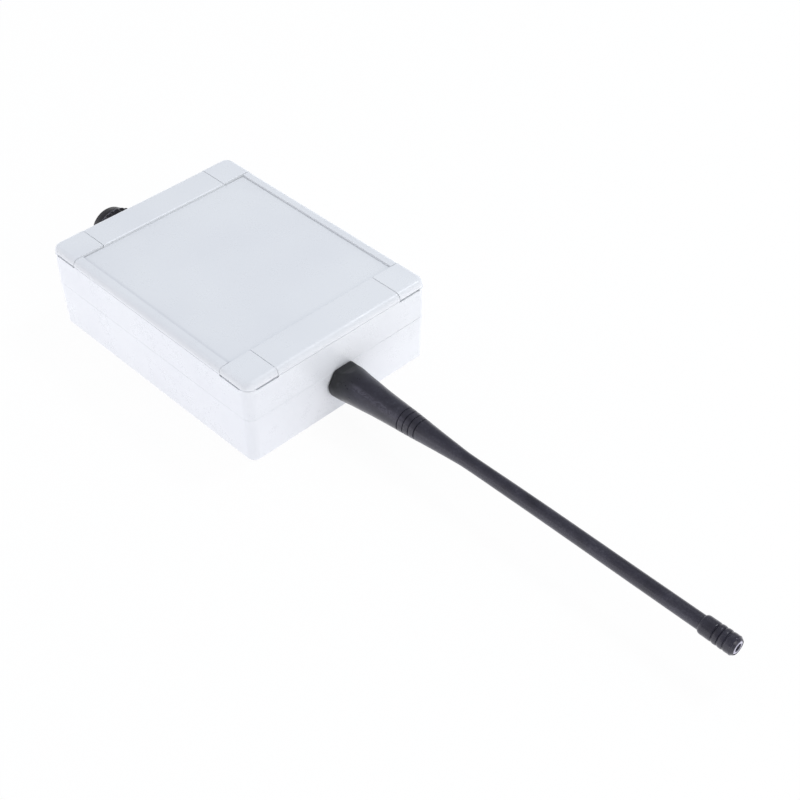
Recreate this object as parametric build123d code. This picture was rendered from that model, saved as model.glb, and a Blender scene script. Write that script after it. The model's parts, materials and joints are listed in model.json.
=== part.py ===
from build123d import *
import math
import os

os.makedirs("parts", exist_ok=True)

# A wired radio transmitter: a light grey two-part plastic case with a rubber whip antenna
# on one end and a cable gland on the other. Millimetres. The origin is the middle of the
# case's underside, +X points along the antenna, +Z points up through the lid.

# Case, outside
case_length = 106.0
case_width = 80.0
base_height = 18.4
lid_height = 15.0
seam_gap = 0.1
seam_edge = 0.1
corner_radius = 3.5
top_edge_radius = 2.2
soft_edge = 0.25
bottom_edge_radius = 1.0
base_draft_angle = 1.5

# Case, walls
base_wall = 3.0
lid_wall = 2.6
floor_thickness = 2.5
lid_plate = 2.2
recess_depth = 0.8
recess_corner_radius = 0.4
rim_width = 4.0
line_height = 0.2
line_depth = 0.15
shadow_groove_width = 0.35
shadow_groove_depth = 0.5
end_groove_width = 0.2
end_groove_depth = 0.3

# Corner covers and the screws below them
cover_length = 13.7
cover_width = 13.1
cover_thickness = 2.5
cover_skin = 1.4
cover_skirt = 1.2
cover_rise = 0.15
cover_gap = 0.18
cover_seat_gap = 0.2
cover_inner_radius = 0.4
pry_slot_height = 0.65
pry_slot_depth = 1.2
pry_slot_setback = 0.3
peg_diameter = 5.8
peg_bore = 4.2
peg_length = 4.5
peg_slit = 1.0
pillar_size = 8.6
pocket_floor = 2.5
screw_diameter = 3.0
screw_length = 10.0
screw_head_diameter = 5.5
screw_head_height = 2.4
screw_hole_diameter = 3.4
pilot_spare = 2.0
head_bore_diameter = 6.4
head_seat_above_seam = 4.0
insert_diameter = 4.2
insert_bore = 3.2
insert_length = 5.8

# Seal between base and lid
groove_width = 1.4
groove_depth = 0.9
seal_width = 1.2
seal_height = 0.95

# Wall-fixing holes in the floor of the base
fixing_diameter = 4.3
fixing_inset = 6.8
fixing_spacing = 44.0
fixing_ring_diameter = 7.6
fixing_ring_height = 1.0

# Circuit board
board_end_gap = 9.0
board_side_gap = 2.0
board_thickness = 1.6
board_corner_radius = 2.0
standoff_height = 4.5
standoff_diameter = 6.0
standoff_inset_x = 6.0
standoff_inset_y = 9.5
board_screw_diameter = 2.2
board_screw_length = 5.0
board_screw_head_diameter = 4.4
board_screw_head_height = 1.7
board_hole_diameter = 2.8

# Antenna, from the wall outwards
antenna_y = 0.0
antenna_z = 13.2
antenna_gap = 0.3
root_diameter = 13.6
waist_diameter = 10.0
waist_station = 20.0
ring_zone_diameter = 8.3
ring_zone_station = 33.0
shaft_diameter = 4.9
shaft_station = 57.0
sleeve_length = 148.1
foot_flat_distance = 5.9
foot_flat_length = 7.0
foot_flat_slope = 14.0
ring_count = 4
ring_first_station = 30.0
ring_pitch = 2.37
ring_groove_width = 0.4
ring_groove_depth = 0.3

# Antenna tip cap
tip_length = 12.8
tip_diameter = 6.35
tip_collar_length = 4.7
tip_groove_count = 3
tip_groove_pitch = 1.95
tip_groove_width = 0.5
tip_groove_depth = 0.35
tip_end_diameter = 4.9
tip_taper_length = 1.3
tip_shoulder_radius = 0.5
tip_liner_diameter = 4.3
tip_liner_bore = 2.3
tip_liner_length = 5.0
tip_liner_clearance = 0.02

# Antenna inner parts and its threaded socket in the wall
radiator_diameter = 1.6
stud_diameter = 4.0
stud_length = 8.5
stud_head_diameter = 8.0
stud_head_length = 7.0
stud_flats = 12
thread_clearance = 0.06
socket_barrel_diameter = 6.3
socket_hole_diameter = 6.5
socket_flange_diameter = 9.0
socket_flange_thickness = 1.0
socket_inside_length = 6.0
foot_counterbore_diameter = 9.8
foot_counterbore_depth = 1.6
lock_washer_diameter = 9.4
lock_washer_thickness = 0.6
lock_washer_teeth = 12
socket_nut_flats = 8.0
socket_nut_thickness = 2.4
solder_cup_diameter = 2.2
solder_cup_length = 1.4
feed_wire_diameter = 0.9
feed_wire_bend = 2.2
feed_wire_reach = 4.2

# Cable gland, from the wall outwards
gland_y = -1.8
gland_z = 11.2
gland_thread_diameter = 12.0
gland_hole_diameter = 12.2
gland_inside_length = 7.5
gland_washer_diameter = 13.6
gland_washer_thickness = 1.0
gland_flats = 18.0
gland_hex_length = 4.6
gland_cap_thread_diameter = 15.0
gland_cap_thread_length = 8.0
gland_bore = 7.0
gland_seat_bore = 12.0
gland_seat_depth = 6.5
gland_nut_gap = 0.4
gland_nut_diameter = 18.4
gland_nut_length = 16.8
gland_nut_bore = 15.4
gland_nut_exit = 7.4
gland_nut_flutes = 24
gland_flute_depth = 0.45
gland_flute_width = 1.1
gland_grip_length = 11.2
gland_dome_base_diameter = 17.4
gland_dome_top_diameter = 15.6
gland_dome_radius = 1.2
gland_cone_start = 1.0
gland_cone_length = 3.6
gland_locknut_flats = 16.0
gland_locknut_thickness = 4.5
gland_seal_bore = 5.0
gland_seal_diameter = 11.8
gland_seal_length = 7.5
gland_claw_diameter = 14.4
gland_claw_length = 5.0
gland_claw_fingers = 10
gland_claw_slit = 0.8

# Parts on the circuit board
terminal_ways = 6
terminal_pitch = 5.08
terminal_depth = 8.6
terminal_height = 10.6
terminal_edge_gap = 3.0
terminal_window_width = 3.6
terminal_window_height = 3.8
terminal_screw_diameter = 3.4
terminal_y = -2.0
module_length = 26.0
module_width = 20.0
module_thickness = 1.0
module_rise = 2.6
module_pins = 9
module_pin_pitch = 2.0
module_pin_size = 0.6
module_end_gap = 8.0
module_y = 8.0
shield_length = 16.0
shield_width = 14.0
shield_height = 2.8
shield_offset = 1.5
chip_length = 12.8
chip_width = 7.5
chip_height = 2.4
chip_pins = 20
chip_pin_pitch = 1.27
chip_module_gap = 8.6
chip_crystal_pitch = 10.0
crystal_length = 11.0
crystal_width = 4.6
crystal_height = 3.6
crystal_side_gap = 9.0
capacitor_diameter = 8.0
capacitor_height = 12.0
capacitor_small_diameter = 6.3
capacitor_small_height = 8.0
capacitor_x = -16.0
capacitor_side_gap = 11.0
regulator_width = 10.2
regulator_body_height = 9.0
regulator_thickness = 4.4
regulator_tab_height = 6.3
regulator_tab_thickness = 1.3
regulator_hole = 3.6
regulator_x = 4.0
regulator_side_gap = 8.0
switch_size = 6.0
switch_height = 3.6
button_diameter = 3.4
button_height = 2.4
button_travel = 0.4
switch_side_gap = 13.0
switch_led_pitch = 11.0
led_diameter = 3.0
led_end_gap = 10.0

# Levels and places worked out from the sizes above
half_length = case_length / 2
half_width = case_width / 2
lid_bottom = base_height + seam_gap
lid_top = lid_bottom + lid_height
cover_seat = lid_top - cover_thickness
cover_top = lid_top + cover_rise
lid_ceiling = lid_top - recess_depth - lid_plate
screw_x = half_length - base_wall - pillar_size / 2
screw_y = half_width - base_wall - pillar_size / 2
head_seat = lid_bottom + head_seat_above_seam
recess_length = case_length - 2 * cover_length
recess_width = case_width - 2 * rim_width
recess_floor = lid_top - recess_depth
board_length = case_length - 2 * base_wall - 2 * board_end_gap
board_width = case_width - 2 * base_wall - 2 * board_side_gap
board_bottom = floor_thickness + standoff_height
board_top = board_bottom + board_thickness
post_x = board_length / 2 - standoff_inset_x
post_y = board_width / 2 - standoff_inset_y
terminal_x = -board_length / 2 + terminal_edge_gap + terminal_depth / 2
module_x = board_length / 2 - module_end_gap - module_length / 2
chip_x = module_x - module_length / 2 - chip_module_gap - chip_length / 2
crystal_y = board_width / 2 - crystal_side_gap
chip_y = crystal_y - chip_crystal_pitch
capacitor_y = -board_width / 2 + capacitor_side_gap
regulator_y = -board_width / 2 + regulator_side_gap
led_x = board_length / 2 - led_end_gap
led_y = -board_width / 2 + switch_side_gap
switch_x = led_x - switch_led_pitch
switch_y = led_y
gland_cap_start = gland_washer_thickness + gland_hex_length
gland_nut_start = gland_cap_start + gland_nut_gap
gland_nut_end = gland_nut_start + gland_nut_length

antenna_frame = Pos(half_length, antenna_y, antenna_z) * Rot(0, 90, 0)
gland_frame = Pos(-half_length, gland_y, gland_z) * Rot(0, -90, 0)

four_corners = [(sx, sy) for sx in (1, -1) for sy in (1, -1)]


# Helpers

def slab(length, width, radius, low, high):
    outline = RectangleRounded(length, width, radius)
    return Pos(0, 0, low) * extrude(outline, high - low)


def block(x_low, x_high, y_low, y_high, z_low, z_high):
    middle = Pos((x_low + x_high) / 2, (y_low + y_high) / 2, (z_low + z_high) / 2)
    return middle * Box(x_high - x_low, y_high - y_low, z_high - z_low)


def rod(diameter, low, high, x=0.0, y=0.0):
    return Pos(x, y, (low + high) / 2) * Cylinder(diameter / 2, high - low)


def hexagon(flats, low, high):
    outline = Rot(0, 0, 30) * RegularPolygon(flats / 2, 6, major_radius=False)
    return Pos(0, 0, low) * extrude(outline, high - low)


def turned(points):
    outline = Polyline(*points, close=True)
    return revolve(Plane.XZ * make_face(outline), Axis.Z)


def corner_block(length, width, low, high, radius):
    # A block that fills a corner of the case, with its inner upright edge rounded.
    solid = block(half_length - length, half_length + 1, half_width - width, half_width + 1, low, high)
    inner_edge = min(solid.edges().filter_by(Axis.Z), key=lambda edge: edge.center().X + edge.center().Y)
    return fillet(inner_edge, radius)


def softened(solid, radius):
    # Rounds the edges round the top of a solid.
    return fillet(solid.faces().sort_by(Axis.Z)[-1].edges(), radius)


def mirrored(solid, sx, sy):
    if sx < 0:
        solid = mirror(solid, Plane.YZ)
    if sy < 0:
        solid = mirror(solid, Plane.XZ)
    return solid


def cross_recess(solid, size, depth, top):
    slot = Pos(0, 0, top - depth / 2) * Box(size, size / 4, depth)
    return solid - slot - Rot(0, 0, 90) * slot


def group(solids):
    return Compound(children=list(solids))


# Case

def lid_blank(top):
    # The lid and its covers share this outside form. The covers stand a little higher.
    blank = softened(slab(case_length, case_width, corner_radius, lid_bottom, top), top_edge_radius)
    return fillet(blank.faces().sort_by(Axis.Z)[0].edges(), seam_edge)


def wall_loop(width, low, high):
    # A ring that runs along the middle of the base's wall.
    outer_inset = base_wall - width
    inner_inset = base_wall + width
    outer_radius = corner_radius - outer_inset / 2
    inner_radius = max(corner_radius - inner_inset / 2, 0.4)
    outer = slab(case_length - outer_inset, case_width - outer_inset, outer_radius, low, high)
    inner = slab(case_length - inner_inset, case_width - inner_inset, inner_radius, low - 1, high + 1)
    return outer - inner


def base_shell():
    outline = RectangleRounded(case_length, case_width, corner_radius)
    shell = Pos(0, 0, base_height) * extrude(outline, base_height, dir=(0, 0, -1), taper=base_draft_angle)
    shell = fillet(shell.faces().sort_by(Axis.Z)[0].edges(), bottom_edge_radius)
    shell = softened(shell, seam_edge)
    inner_radius = max(corner_radius - base_wall, 0.8)
    inside = (case_length - 2 * base_wall, case_width - 2 * base_wall)
    shell -= slab(*inside, inner_radius, floor_thickness, base_height + 1)
    for sx, sy in four_corners:
        pillar = block(half_length - pillar_size - base_wall, half_length - base_wall / 2,
                       half_width - pillar_size - base_wall, half_width - base_wall / 2,
                       floor_thickness / 2, base_height)
        pillar -= rod(insert_diameter + 0.04, base_height - insert_length, base_height + 1, screw_x, screw_y)
        pilot_bottom = head_seat - screw_length - pilot_spare
        pillar -= rod(screw_hole_diameter, pilot_bottom, base_height, screw_x, screw_y)
        shell += mirrored(pillar, sx, sy)
        post = rod(standoff_diameter, floor_thickness / 2, board_bottom, post_x, post_y)
        post -= rod(board_screw_diameter + 0.1, floor_thickness, board_bottom + 1, post_x, post_y)
        shell += mirrored(post, sx, sy)
        hole_x = half_length - fixing_inset
        hole_y = fixing_spacing / 2
        ring_top = floor_thickness + fixing_ring_height
        ring = rod(fixing_ring_diameter, floor_thickness / 2, ring_top, hole_x, hole_y)
        shell += mirrored(ring, sx, sy)
        shell -= mirrored(rod(fixing_diameter, -1, ring_top + 1, hole_x, hole_y), sx, sy)
    shell -= wall_loop(groove_width, base_height - groove_depth, base_height + 1)
    shell -= antenna_frame * rod(socket_hole_diameter, -base_wall - 1, 1)
    shell -= gland_frame * rod(gland_hole_diameter, -base_wall - 1, 1)
    return shell


def pry_slots():
    # A blade goes in under a cover along either of its outer sides.
    low = cover_seat - pry_slot_height
    end_x = half_length - corner_radius - pry_slot_setback
    end_y = half_width - corner_radius - pry_slot_setback
    along_side = block(half_length - cover_length, end_x, half_width - pry_slot_depth, half_width + 1,
                       low, cover_seat + 1)
    along_end = block(half_length - pry_slot_depth, half_length + 1, half_width - cover_width, end_y,
                      low, cover_seat + 1)
    return along_side + along_end


def lid():
    body = lid_blank(lid_top)
    inner_radius = max(corner_radius - lid_wall, 0.8)
    inside = (case_length - 2 * lid_wall, case_width - 2 * lid_wall)
    body -= slab(*inside, inner_radius, lid_bottom - 1, lid_ceiling)
    body -= slab(recess_length, recess_width, recess_corner_radius, recess_floor, lid_top + 1)
    rim = body.faces().filter_by(Axis.Z).sort_by(Axis.Z)[-1]
    body = fillet(rim.inner_wires()[0].edges(), soft_edge)
    shadow_reach = recess_length / 2 - recess_corner_radius
    shadow_groove = block(-shadow_reach, shadow_reach, recess_width / 2 - shadow_groove_width,
                          recess_width / 2, recess_floor - shadow_groove_depth, recess_floor)
    body -= shadow_groove + mirror(shadow_groove, Plane.XZ)
    end_reach = half_width - cover_width - 2 * cover_inner_radius
    end_groove = block(recess_length / 2 - end_groove_width, recess_length / 2, -end_reach, end_reach,
                       recess_floor - end_groove_depth, recess_floor)
    body -= end_groove + mirror(end_groove, Plane.YZ)
    outside = lid_blank(lid_top)
    for sx, sy in four_corners:
        floor = corner_block(cover_length + 2, cover_width + 2, cover_seat - pocket_floor, cover_seat,
                             cover_inner_radius)
        pillar = block(screw_x - pillar_size / 2, half_length, screw_y - pillar_size / 2, half_width,
                       lid_bottom, cover_seat)
        body += mirrored((floor + pillar) & outside, sx, sy)
        pocket = corner_block(cover_length, cover_width, cover_seat, lid_top + 1, cover_inner_radius)
        head_bore = rod(head_bore_diameter, head_seat, cover_seat + 1, screw_x, screw_y)
        screw_hole = rod(screw_hole_diameter, lid_bottom - 1, head_seat + 1, screw_x, screw_y)
        body -= mirrored(pocket + head_bore + screw_hole + pry_slots(), sx, sy)
    line = slab(case_length + 2, case_width + 2, corner_radius, cover_seat - line_height, cover_seat)
    line -= slab(case_length - 2 * line_depth, case_width - 2 * line_depth, corner_radius - line_depth,
                 cover_seat - line_height - 1, cover_seat + 1)
    return body - line


def corner_cover(sx, sy):
    low = cover_seat + cover_seat_gap
    length = cover_length - cover_gap
    width = cover_width - cover_gap
    radius = cover_inner_radius
    cover = softened(corner_block(length, width, low, cover_top, radius), soft_edge) & lid_blank(cover_top)
    ceiling = cover_top - cover_skin
    hollow = block(half_length - length + cover_skirt, half_length - cover_skirt,
                   half_width - width + cover_skirt, half_width - cover_skirt, low - 1, ceiling)
    cover -= fillet(hollow.edges().filter_by(Axis.Z), radius)
    peg = rod(peg_diameter, low - peg_length, cover_top - cover_skin / 2, screw_x, screw_y)
    peg -= rod(peg_bore, low - peg_length - 1, ceiling, screw_x, screw_y)
    slit = Pos(screw_x, screw_y, low - peg_length / 2) * Box(peg_diameter + 1, peg_slit, peg_length + 0.01)
    cover += peg - slit
    return mirrored(cover, sx, sy)


def lid_seal():
    low = base_height - groove_depth
    return wall_loop(seal_width, low, low + seal_height)


def pan_screw(head_diameter, head_height, shank_diameter, shank_length):
    # Stands on its shank, with the seat of the head at zero.
    head = rod(head_diameter, 0, head_height)
    head = fillet(head.faces().sort_by(Axis.Z)[-1].edges(), head_height * 0.45)
    shank = rod(shank_diameter, -shank_length, 0)
    shank = chamfer(shank.faces().sort_by(Axis.Z)[0].edges(), shank_diameter * 0.2)
    return cross_recess(head + shank, head_diameter * 0.55, head_height * 0.6, head_height)


def lid_screws():
    screw = pan_screw(screw_head_diameter, screw_head_height, screw_diameter, screw_length)
    return group(Pos(sx * screw_x, sy * screw_y, head_seat) * screw for sx, sy in four_corners)


def screw_inserts():
    insert = rod(insert_diameter, -insert_length, 0) - rod(insert_bore, -insert_length - 1, 1)
    waist_level = -insert_length / 2
    waist = rod(insert_diameter + 1, waist_level - 0.5, waist_level + 0.5)
    waist -= rod(insert_diameter - 0.5, waist_level - 1, waist_level + 1)
    insert -= waist
    return group(Pos(sx * screw_x, sy * screw_y, base_height) * insert for sx, sy in four_corners)


# Antenna, built upright on its root and then laid along +X

def antenna_sleeve():
    start = antenna_gap
    cone = Spline((root_diameter / 2, start), (waist_diameter / 2, waist_station),
                  (ring_zone_diameter / 2, ring_zone_station), (shaft_diameter / 2, shaft_station),
                  tangents=((-0.16, 1), (0, 1)))
    end = Line((shaft_diameter / 2, shaft_station), (shaft_diameter / 2, sleeve_length))
    close = Polyline((shaft_diameter / 2, sleeve_length), (0, sleeve_length), (0, start),
                     (root_diameter / 2, start))
    sleeve = revolve(Plane.XZ * make_face([cone, end, close]), Axis.Z)
    reach = 2 * root_diameter
    flat = block(-foot_flat_distance - reach, -foot_flat_distance, -reach, reach, 0, start + foot_flat_length)
    ramp = Pos(-reach / 2, 0, 0) * Box(reach, 2 * reach, 2 * reach)
    ramp = Pos(-foot_flat_distance, 0, start + foot_flat_length) * Rot(0, -foot_flat_slope, 0) * ramp
    sleeve -= flat & ramp
    for index in range(ring_count):
        station = ring_first_station + index * ring_pitch
        outside = rod(root_diameter, station - ring_groove_width / 2, station + ring_groove_width / 2)
        share = (station - waist_station) / (ring_zone_station - waist_station)
        here = waist_diameter + (ring_zone_diameter - waist_diameter) * share
        sleeve -= outside - rod(here - 2 * ring_groove_depth, 0, sleeve_length)
    sleeve -= rod(foot_counterbore_diameter, -1, start + foot_counterbore_depth)
    stud_low = start + foot_counterbore_depth
    sleeve -= rod(stud_head_diameter, stud_low - 1, stud_low + stud_head_length)
    sleeve -= rod(radiator_diameter, 0, sleeve_length + 1)
    return antenna_frame * sleeve


def antenna_tip_cap():
    low = sleeve_length
    high = sleeve_length + tip_length
    cap = turned([(0, low), (tip_diameter / 2, low), (tip_diameter / 2, high - tip_taper_length),
                  (tip_end_diameter / 2, high), (0, high)])
    cap = fillet(cap.edges().filter_by(GeomType.CIRCLE).group_by(Axis.Z)[-2], tip_shoulder_radius)
    cap = fillet(cap.faces().sort_by(Axis.Z)[0].edges(), (tip_diameter - shaft_diameter) / 2 * 0.8)
    for index in range(tip_groove_count):
        station = low + tip_collar_length + index * tip_groove_pitch
        outside = rod(tip_diameter + 1, station, station + tip_groove_width)
        cap -= outside - rod(tip_diameter - 2 * tip_groove_depth, station - 1, station + tip_groove_width + 1)
    cap -= rod(tip_liner_diameter + tip_liner_clearance, high - tip_liner_length, high + 1)
    cap -= rod(radiator_diameter, low - 1, high - tip_liner_length)
    return antenna_frame * cap


def antenna_tip_liner():
    # A pale tube in the end of the cap, flush with it and open.
    high = sleeve_length + tip_length
    liner = rod(tip_liner_diameter, high - tip_liner_length, high)
    return antenna_frame * (liner - rod(tip_liner_bore, high - tip_liner_length - 1, high + 1))


def antenna_radiator():
    start = antenna_gap + foot_counterbore_depth + stud_head_length / 2
    end = sleeve_length + tip_length - tip_liner_length - 0.5
    wire = rod(radiator_diameter, start, end)
    return antenna_frame * chamfer(wire.faces().sort_by(Axis.Z)[-1].edges(), radiator_diameter / 5)


def antenna_stud():
    low = antenna_gap + foot_counterbore_depth
    head = rod(stud_head_diameter, low, low + stud_head_length)
    for index in range(stud_flats):
        turn = Rot(0, 0, index * 360 / stud_flats)
        middle = low + stud_head_length / 2
        head -= turn * Pos(stud_head_diameter / 2, 0, middle) * Cylinder(0.4, stud_head_length / 2)
    shank = rod(stud_diameter, low - stud_length, low)
    shank = chamfer(shank.faces().sort_by(Axis.Z)[0].edges(), 0.5)
    wire_hole = rod(radiator_diameter, low + stud_head_length / 2, low + stud_head_length + 1)
    return antenna_frame * (head + shank - wire_hole)


def antenna_socket():
    barrel = rod(socket_barrel_diameter, -base_wall - socket_inside_length, 0)
    flange = rod(socket_flange_diameter, 0, socket_flange_thickness)
    flange = chamfer(flange.faces().sort_by(Axis.Z)[-1].edges(), 0.25)
    inner_end = -base_wall - socket_inside_length
    bore_bottom = inner_end + 1.2
    cup = rod(solder_cup_diameter, inner_end - solder_cup_length, inner_end)
    socket = barrel + flange + cup - rod(stud_diameter + 2 * thread_clearance, bore_bottom, 2)
    return antenna_frame * socket


def antenna_lock_washer():
    high = -base_wall
    low = high - lock_washer_thickness
    washer = rod(lock_washer_diameter, low, high) - rod(socket_barrel_diameter + 0.2, low - 1, high + 1)
    for index in range(lock_washer_teeth):
        turn = Rot(0, 0, index * 360 / lock_washer_teeth)
        washer -= turn * Pos(lock_washer_diameter / 2, 0, low) * Box(1.6, 0.8, 3)
    return antenna_frame * washer


def antenna_socket_nut():
    high = -base_wall - lock_washer_thickness
    low = high - socket_nut_thickness
    nut = hexagon(socket_nut_flats + 2, low, high)
    rounding = rod(socket_nut_flats + 3.1, low, high)
    rounding = chamfer(rounding.edges(), 0.5)
    return antenna_frame * ((nut & rounding) - rod(socket_barrel_diameter + 0.04, low - 1, high + 1))


def feed_wire():
    # A short bare wire from the socket's solder cup down to its pad on the board.
    start_x = half_length - base_wall - socket_inside_length - solder_cup_length
    corner_x = start_x - feed_wire_reach
    path = FilletPolyline((start_x, antenna_y, antenna_z), (corner_x, antenna_y, antenna_z),
                          (corner_x, antenna_y, board_top), radius=feed_wire_bend)
    return sweep(Plane(origin=path @ 0, z_dir=path % 0) * Circle(feed_wire_diameter / 2), path)


# Cable gland, built upright on the wall and then laid along -X

def gland_body():
    thread = rod(gland_thread_diameter, -base_wall - gland_inside_length, gland_washer_thickness)
    thread = chamfer(thread.faces().sort_by(Axis.Z)[0].edges(), 0.6)
    collar = hexagon(gland_flats, gland_washer_thickness, gland_cap_start)
    rounding = rod(gland_flats * 1.13, gland_washer_thickness, gland_cap_start)
    collar &= chamfer(rounding.edges(), 0.7)
    cap_thread = rod(gland_cap_thread_diameter, gland_cap_start, gland_cap_start + gland_cap_thread_length)
    top = gland_cap_start + gland_cap_thread_length
    body = thread + collar + cap_thread
    body -= rod(gland_bore, -base_wall - gland_inside_length - 1, top + 1)
    body -= rod(gland_seat_bore, top - gland_seat_depth, top + 1)
    return gland_frame * body


def gland_washer():
    washer = rod(gland_washer_diameter, 0, gland_washer_thickness)
    washer -= rod(gland_hole_diameter, -1, gland_washer_thickness + 1)
    return gland_frame * washer


def gland_locknut():
    high = -base_wall
    low = high - gland_locknut_thickness
    nut = hexagon(gland_locknut_flats, low, high - 1) + rod(gland_locknut_flats, high - 1, high)
    nut -= rod(gland_thread_diameter + 0.04, low - 1, high + 1)
    return gland_frame * nut


def gland_seal():
    low = gland_cap_start + gland_cap_thread_length - gland_seat_depth
    seal = rod(gland_seal_diameter, low, low + gland_seal_length)
    seal = chamfer(seal.edges(), 0.4)
    return gland_frame * (seal - rod(gland_seal_bore, low - 1, low + gland_seal_length + 1))


def gland_claw():
    # The slotted ring that the dome nut closes onto the seal.
    low = gland_cap_start + gland_cap_thread_length
    high = low + gland_claw_length
    claw = turned([(gland_seal_diameter / 2 + 0.1, low), (gland_claw_diameter / 2, low),
                   (gland_claw_diameter / 2, low + 1), (gland_seal_diameter / 2 + 0.3, high),
                   (gland_seal_bore / 2 + 1.2, high), (gland_seal_diameter / 2 + 0.1, low + 1.4)])
    for index in range(gland_claw_fingers):
        turn = Rot(0, 0, index * 360 / gland_claw_fingers)
        slit = block(0, gland_claw_diameter, -gland_claw_slit / 2, gland_claw_slit / 2, low + 1, high + 1)
        claw -= turn * slit
    return gland_frame * claw


def gland_dome_nut():
    # A fluted grip ring that closes with a plain tapered dome.
    low = gland_nut_start
    high = gland_nut_end
    grip_end = low + gland_grip_length
    grip = rod(gland_nut_diameter, low, grip_end)
    grip = chamfer(grip.faces().filter_by(Axis.Z).edges(), 0.3)
    rim = gland_nut_diameter / 2
    flute_outline = Polyline((rim - gland_flute_depth, 0), (rim + gland_flute_depth, gland_flute_width),
                             (rim + gland_flute_depth, -gland_flute_width), close=True)
    flute = Pos(0, 0, low - 1) * extrude(make_face(flute_outline), gland_grip_length + 2)
    grip -= [Rot(0, 0, index * 360 / gland_nut_flutes) * flute for index in range(gland_nut_flutes)]
    dome = turned([(0, grip_end - 1), (gland_dome_base_diameter / 2, grip_end - 1),
                   (gland_dome_base_diameter / 2, grip_end), (gland_dome_top_diameter / 2, high), (0, high)])
    dome = fillet(dome.faces().sort_by(Axis.Z)[-1].edges(), gland_dome_radius)
    cone_start = gland_cap_start + gland_cap_thread_length + gland_claw_length - gland_cone_start
    bore = turned([(0, low - 1), (gland_nut_bore / 2, low - 1), (gland_nut_bore / 2, cone_start),
                   (gland_nut_exit / 2, cone_start + gland_cone_length), (gland_nut_exit / 2, high + 1),
                   (0, high + 1)])
    return gland_frame * (grip + dome - bore)


# Circuit board and what stands on it

def circuit_board():
    board = slab(board_length, board_width, board_corner_radius, board_bottom, board_top)
    for sx, sy in four_corners:
        board -= rod(board_hole_diameter, board_bottom - 1, board_top + 1, sx * post_x, sy * post_y)
    return board


def board_screws():
    screw = pan_screw(board_screw_head_diameter, board_screw_head_height, board_screw_diameter,
                      board_screw_length)
    return group(Pos(sx * post_x, sy * post_y, board_top) * screw for sx, sy in four_corners)


def terminal_places():
    first = -(terminal_ways - 1) / 2 * terminal_pitch
    return [first + index * terminal_pitch for index in range(terminal_ways)]


def terminal_block():
    length = terminal_ways * terminal_pitch
    body = Pos(0, 0, terminal_height / 2) * Box(terminal_depth, length, terminal_height)
    body = chamfer(body.edges().filter_by(Axis.Y).sort_by(Axis.Z)[-2:], 1.2)
    for place in terminal_places():
        window = Pos(-terminal_depth / 2, place, 3.4) * Box(5, terminal_window_width, terminal_window_height)
        well = rod(terminal_screw_diameter + 0.4, terminal_height - 4.2, terminal_height + 1, 0, place)
        body -= window + well
    return Pos(terminal_x, terminal_y, board_top) * body


def terminal_screws():
    head = rod(terminal_screw_diameter, -1.8, 0) - Pos(0, 0, -0.3) * Box(terminal_screw_diameter, 0.7, 0.61)
    level = board_top + terminal_height - 2.4
    return group(Pos(terminal_x, terminal_y + place, level) * head for place in terminal_places())


def rf_module():
    board = slab(module_length, module_width, 0.5, module_rise, module_rise + module_thickness)
    first = -(module_pins - 1) / 2 * module_pin_pitch
    strip = block(-module_pins * module_pin_pitch / 2, module_pins * module_pin_pitch / 2,
                  -module_width / 2 + 0.4, -module_width / 2 + 2.4, module_rise - 2.0, module_rise)
    module = board + strip
    for index in range(module_pins):
        pin = Pos(first + index * module_pin_pitch, -module_width / 2 + 1.4, module_rise / 2)
        module += pin * Box(module_pin_size, module_pin_size, module_rise)
    far_post = block(-2, 2, module_width / 2 - 2.4, module_width / 2 - 0.4, 0, module_rise)
    return Pos(module_x, module_y, board_top) * (module + far_post)


def rf_shield():
    low = board_top + module_rise + module_thickness
    can = slab(shield_length, shield_width, 1.0, low, low + shield_height)
    can = fillet(can.faces().sort_by(Axis.Z)[-1].edges(), 0.5)
    for sx, sy in four_corners:
        can -= rod(1.2, low + shield_height - 0.3, low + shield_height + 1,
                   sx * shield_length / 3, sy * shield_width / 3)
    return Pos(module_x, module_y + shield_offset, 0) * can


def controller_chip():
    low = board_top + 0.15
    body = Pos(0, 0, 0.15 + chip_height / 2) * Box(chip_length, chip_width, chip_height)
    body = chamfer(body.edges().filter_by(Axis.X).group_by(Axis.Z)[-1], 0.5)
    body -= rod(1.2, chip_height - 0.05, chip_height + 1, -chip_length / 2 + 1.5, -chip_width / 2 + 1.6)
    per_side = chip_pins // 2
    first = -(per_side - 1) / 2 * chip_pin_pitch
    leg = block(-0.2, 0.2, chip_width / 2 - 0.2, chip_width / 2 + 0.7, 1.1, 1.4)
    leg += block(-0.2, 0.2, chip_width / 2 + 0.4, chip_width / 2 + 0.7, 0, 1.4)
    leg += block(-0.2, 0.2, chip_width / 2 + 0.4, chip_width / 2 + 1.5, 0, 0.3)
    for index in range(per_side):
        place = Pos(first + index * chip_pin_pitch, 0, 0) * leg
        body += place
        body += mirror(place, Plane.XZ)
    return Pos(chip_x, chip_y, low - 0.15) * body


def crystal():
    can = slab(crystal_length, crystal_width, crystal_width / 2 - 0.01, 0.4, crystal_height)
    can = fillet(can.faces().sort_by(Axis.Z)[-1].edges(), 0.5)
    foot = slab(crystal_length + 0.8, crystal_width + 0.8, crystal_width / 2, 0, 0.5)
    return Pos(chip_x, crystal_y, board_top) * (can + foot)


def capacitor(diameter, height):
    can = rod(diameter, 0, height)
    can = fillet(can.faces().sort_by(Axis.Z)[-1].edges(), 0.5)
    groove = rod(diameter + 1, 1.6, 2.2) - rod(diameter - 0.6, 1, 3)
    vent = Pos(0, 0, height) * (Box(diameter * 0.6, 0.3, 0.4) + Box(0.3, diameter * 0.6, 0.4))
    return can - groove - vent


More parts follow.
